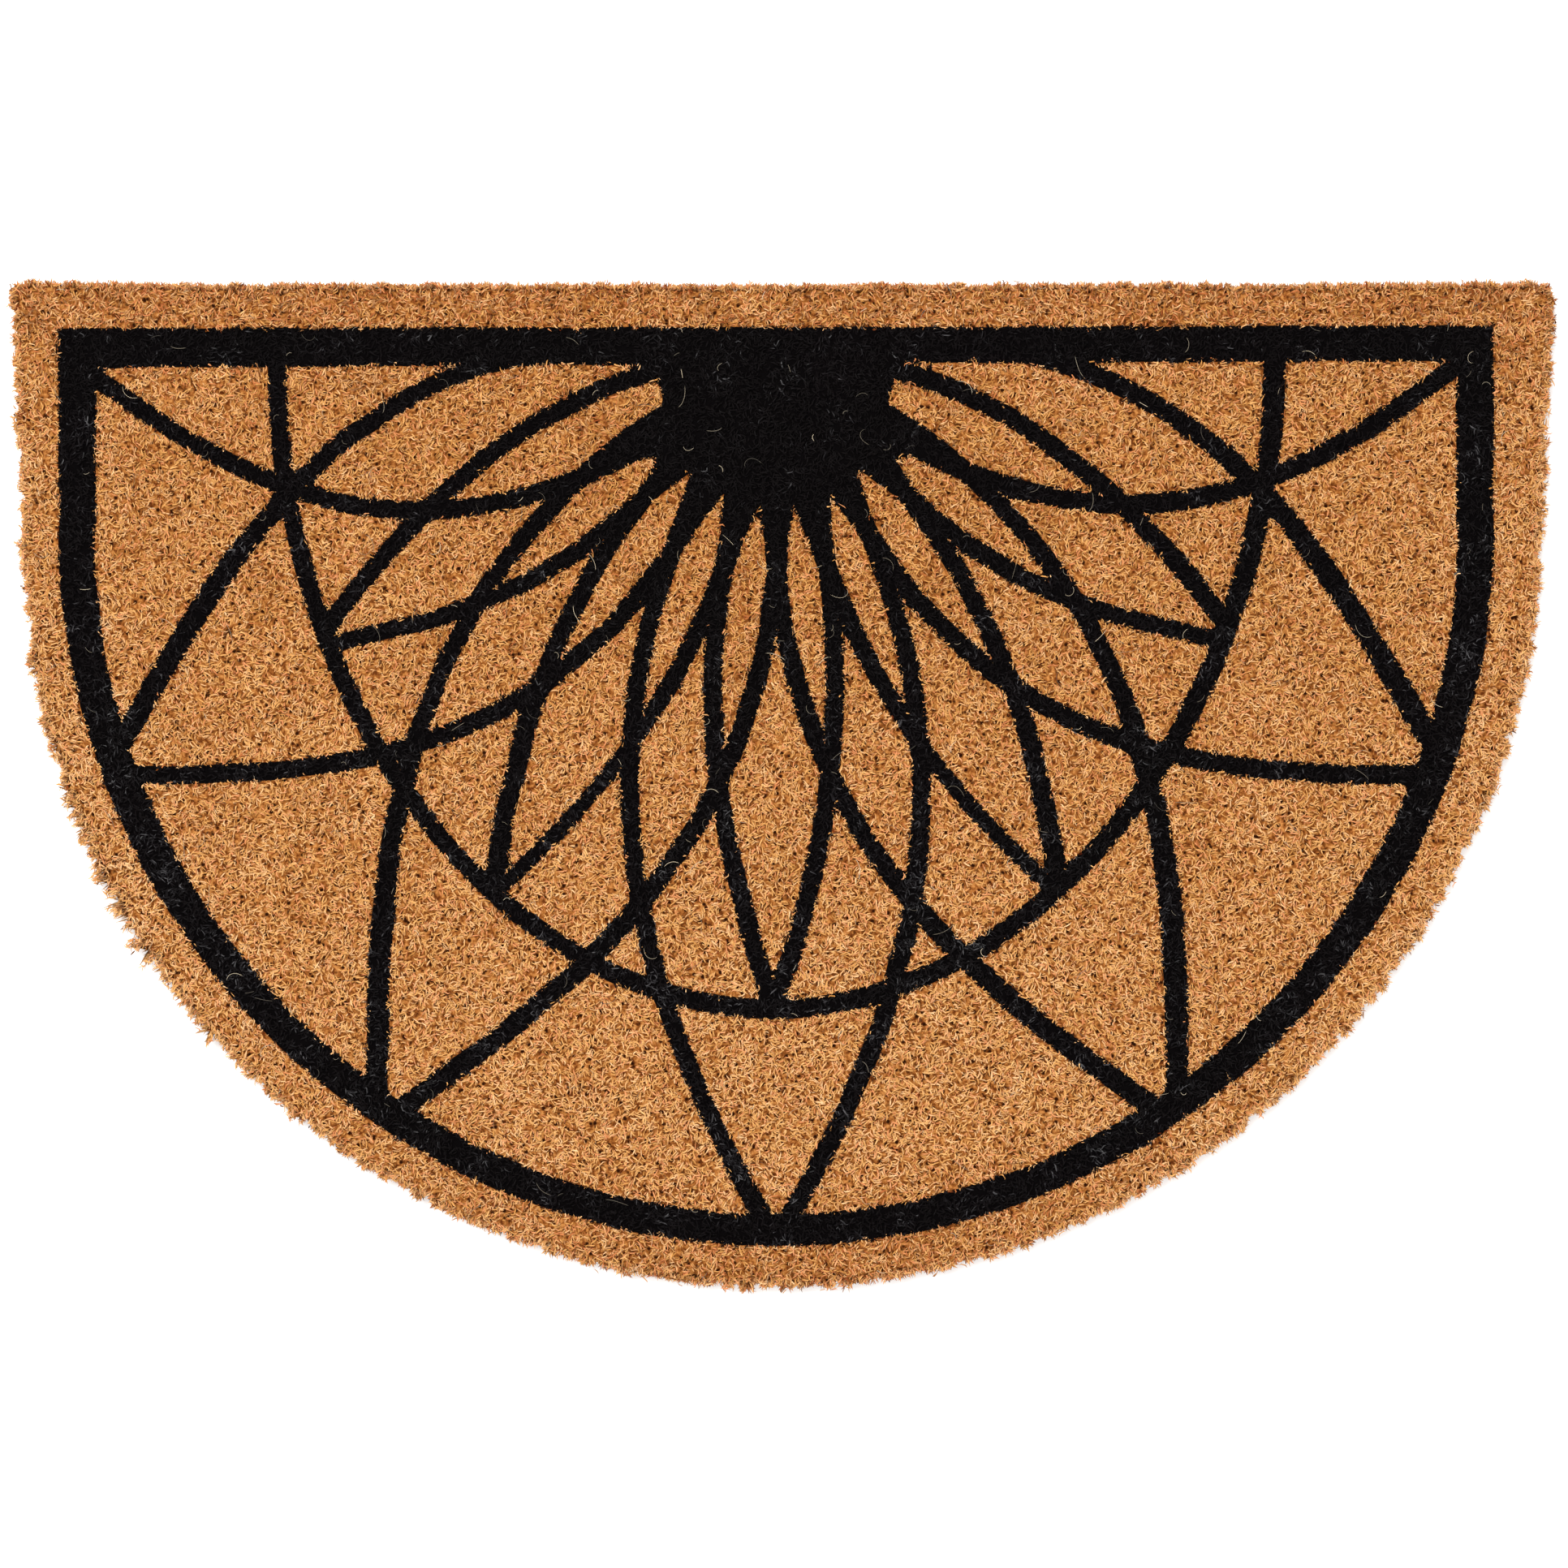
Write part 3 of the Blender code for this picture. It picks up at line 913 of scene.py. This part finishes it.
def makeFibres(ground, finish, chance):
    corners, isShadeFleck = fieldFibres(ground, chance)
    tone, sort = toneOf(corners[:, 0], field["fibresInTuft"], isShadeFleck, chance)
    inked = inkedAt(corners, chance)
    tone = tone[:, None] + tones["glint"] * chance.normal(0, 1, inked.shape) * inked
    order = np.argsort(corners[:, 0, 0], kind="stable")
    made = []
    for number, part in enumerate(np.array_split(order, field["strips"])):
        name = f"pile_strip_{number + 1}"
        made.append(fibreMesh(name, corners[part], strandFaces, strandAlong, tone[part], sort[part],
                              inked[part], finish))
    corners = rimFibres(ground, chance)
    made.append(bareFibreMesh("rim_fibres", corners, splinterFaces, splinterAlong, rim["paler"],
                              finish, chance))
    corners = overhangFibres(ground, chance)
    made.append(bareFibreMesh("rim_strands", corners, strandFaces, strandAlong, overhang["paler"],
                              finish, chance))
    return made


# Stray hairs: long pale curled fibres that lie loose on top, on the black too

strays = {
    "onTread": 440,
    "atRim": 300,
    "rimLength": 0.62,            # of the others' length
    "rimLow": 0.007,              # and none lower than this
    "points": 9,
    "length": (0.0028, 0.0105),
    "longRarer": 2,               # the higher, the fewer long ones
    "width": 0.00016,
    "widths": (0.7, 1.3),         # shares of that
    "curl": 3.4,                  # radians, the most that one turns from end to end
    "curlLater": (0.7, 2.0),      # the higher, the more of that is near its end
    "lift": 0.0021,               # above the bed
    "arch": 0.0007,
    "arches": (-0.4, 1.0),        # shares of that
    "tones": (0.02, 0.98),
}


def makeStrays(ground, finish, chance):
    count, points = strays["onTread"] + strays["atRim"], strays["points"]
    onTread, _ = scatter(ground.data, strays["onTread"], chance, isTread)
    atRim, _ = scatter(ground.data, strays["atRim"], chance, isRim)
    atRim[:, 2] = np.clip(atRim[:, 2], strays["rimLow"], None)
    place = np.concatenate((onTread, atRim))
    shortest, longest = strays["length"]
    length = shortest + (longest - shortest) * chance.uniform(0, 1, count) ** strays["longRarer"]
    length[strays["onTread"]:] *= strays["rimLength"]
    share = np.linspace(0, 1, points)
    curl = strays["curl"] * chance.uniform(-1, 1, (count, 1))
    curl = curl * share ** chance.uniform(*strays["curlLater"], (count, 1))
    heading = chance.uniform(0, 2 * math.pi, (count, 1)) + curl
    step = (length / (points - 1))[:, None]
    path = np.zeros((count, points, 3))
    path[:, 1:, 0] = np.cumsum(np.cos(heading[:, :-1]) * step, 1)
    path[:, 1:, 1] = np.cumsum(np.sin(heading[:, :-1]) * step, 1)
    path -= path.mean(1, keepdims=True)
    arch = strays["arch"] * np.sin(math.pi * share) * chance.uniform(*strays["arches"], (count, 1))
    path[:, :, 2] = strays["lift"] + arch
    path += place[:, None]
    side = np.stack((-np.sin(heading), np.cos(heading), np.zeros_like(heading)), 2)
    radius = strays["width"] / 2 * chance.uniform(*strays["widths"], (count, 1, 1))
    up = np.array((0.0, 0.0, 1.0))
    ringed = [path + radius * (math.cos(turn) * side + math.sin(turn) * up)
              for turn in (math.pi / 2, math.pi * 7 / 6, math.pi * 11 / 6)]
    rings = np.stack(ringed, 2)[:, 1:-1].reshape(count, -1, 3)
    bodies = np.concatenate((path[:, :1], rings, path[:, -1:]), 1)
    # Each hair's points are its start, rings of three, and its end.
    last = 3 * (points - 2) + 1
    faces = []
    for k in range(3):
        after = (k + 1) % 3
        faces.append((0, 1 + after, 1 + k))
        faces.append((last, last - 3 + k, last - 3 + after))
        for ring in range(points - 3):
            low = 1 + 3 * ring
            faces.append((low + k, low + after, low + 3 + after))
            faces.append((low + k, low + 3 + after, low + 3 + k))
    faces = np.array(faces)[None] + bodies.shape[1] * np.arange(count)[:, None, None]
    across = np.repeat(chance.uniform(*strays["tones"], count), bodies.shape[1])
    halfUp = np.full(len(across), 0.5)
    return joinedMesh("stray_hairs", bodies.reshape(-1, 3), faces, across, halfUp, finish)


bedPiece = makeBed()
print("bed made:", len(bedPiece.data.polygons), "faces")
luck = np.random.default_rng(seeds["fibres"])
pilePieces = [bedPiece, *makeFibres(bedPiece, coirFinish(), luck)]
pilePieces.append(makeStrays(bedPiece, hairFinish(), luck))
print("pile made:", len(pilePieces), "pieces")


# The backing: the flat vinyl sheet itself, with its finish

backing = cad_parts["backing_sheet"]
backing.data.materials.clear()
backing.data.materials.append(backingFinish())
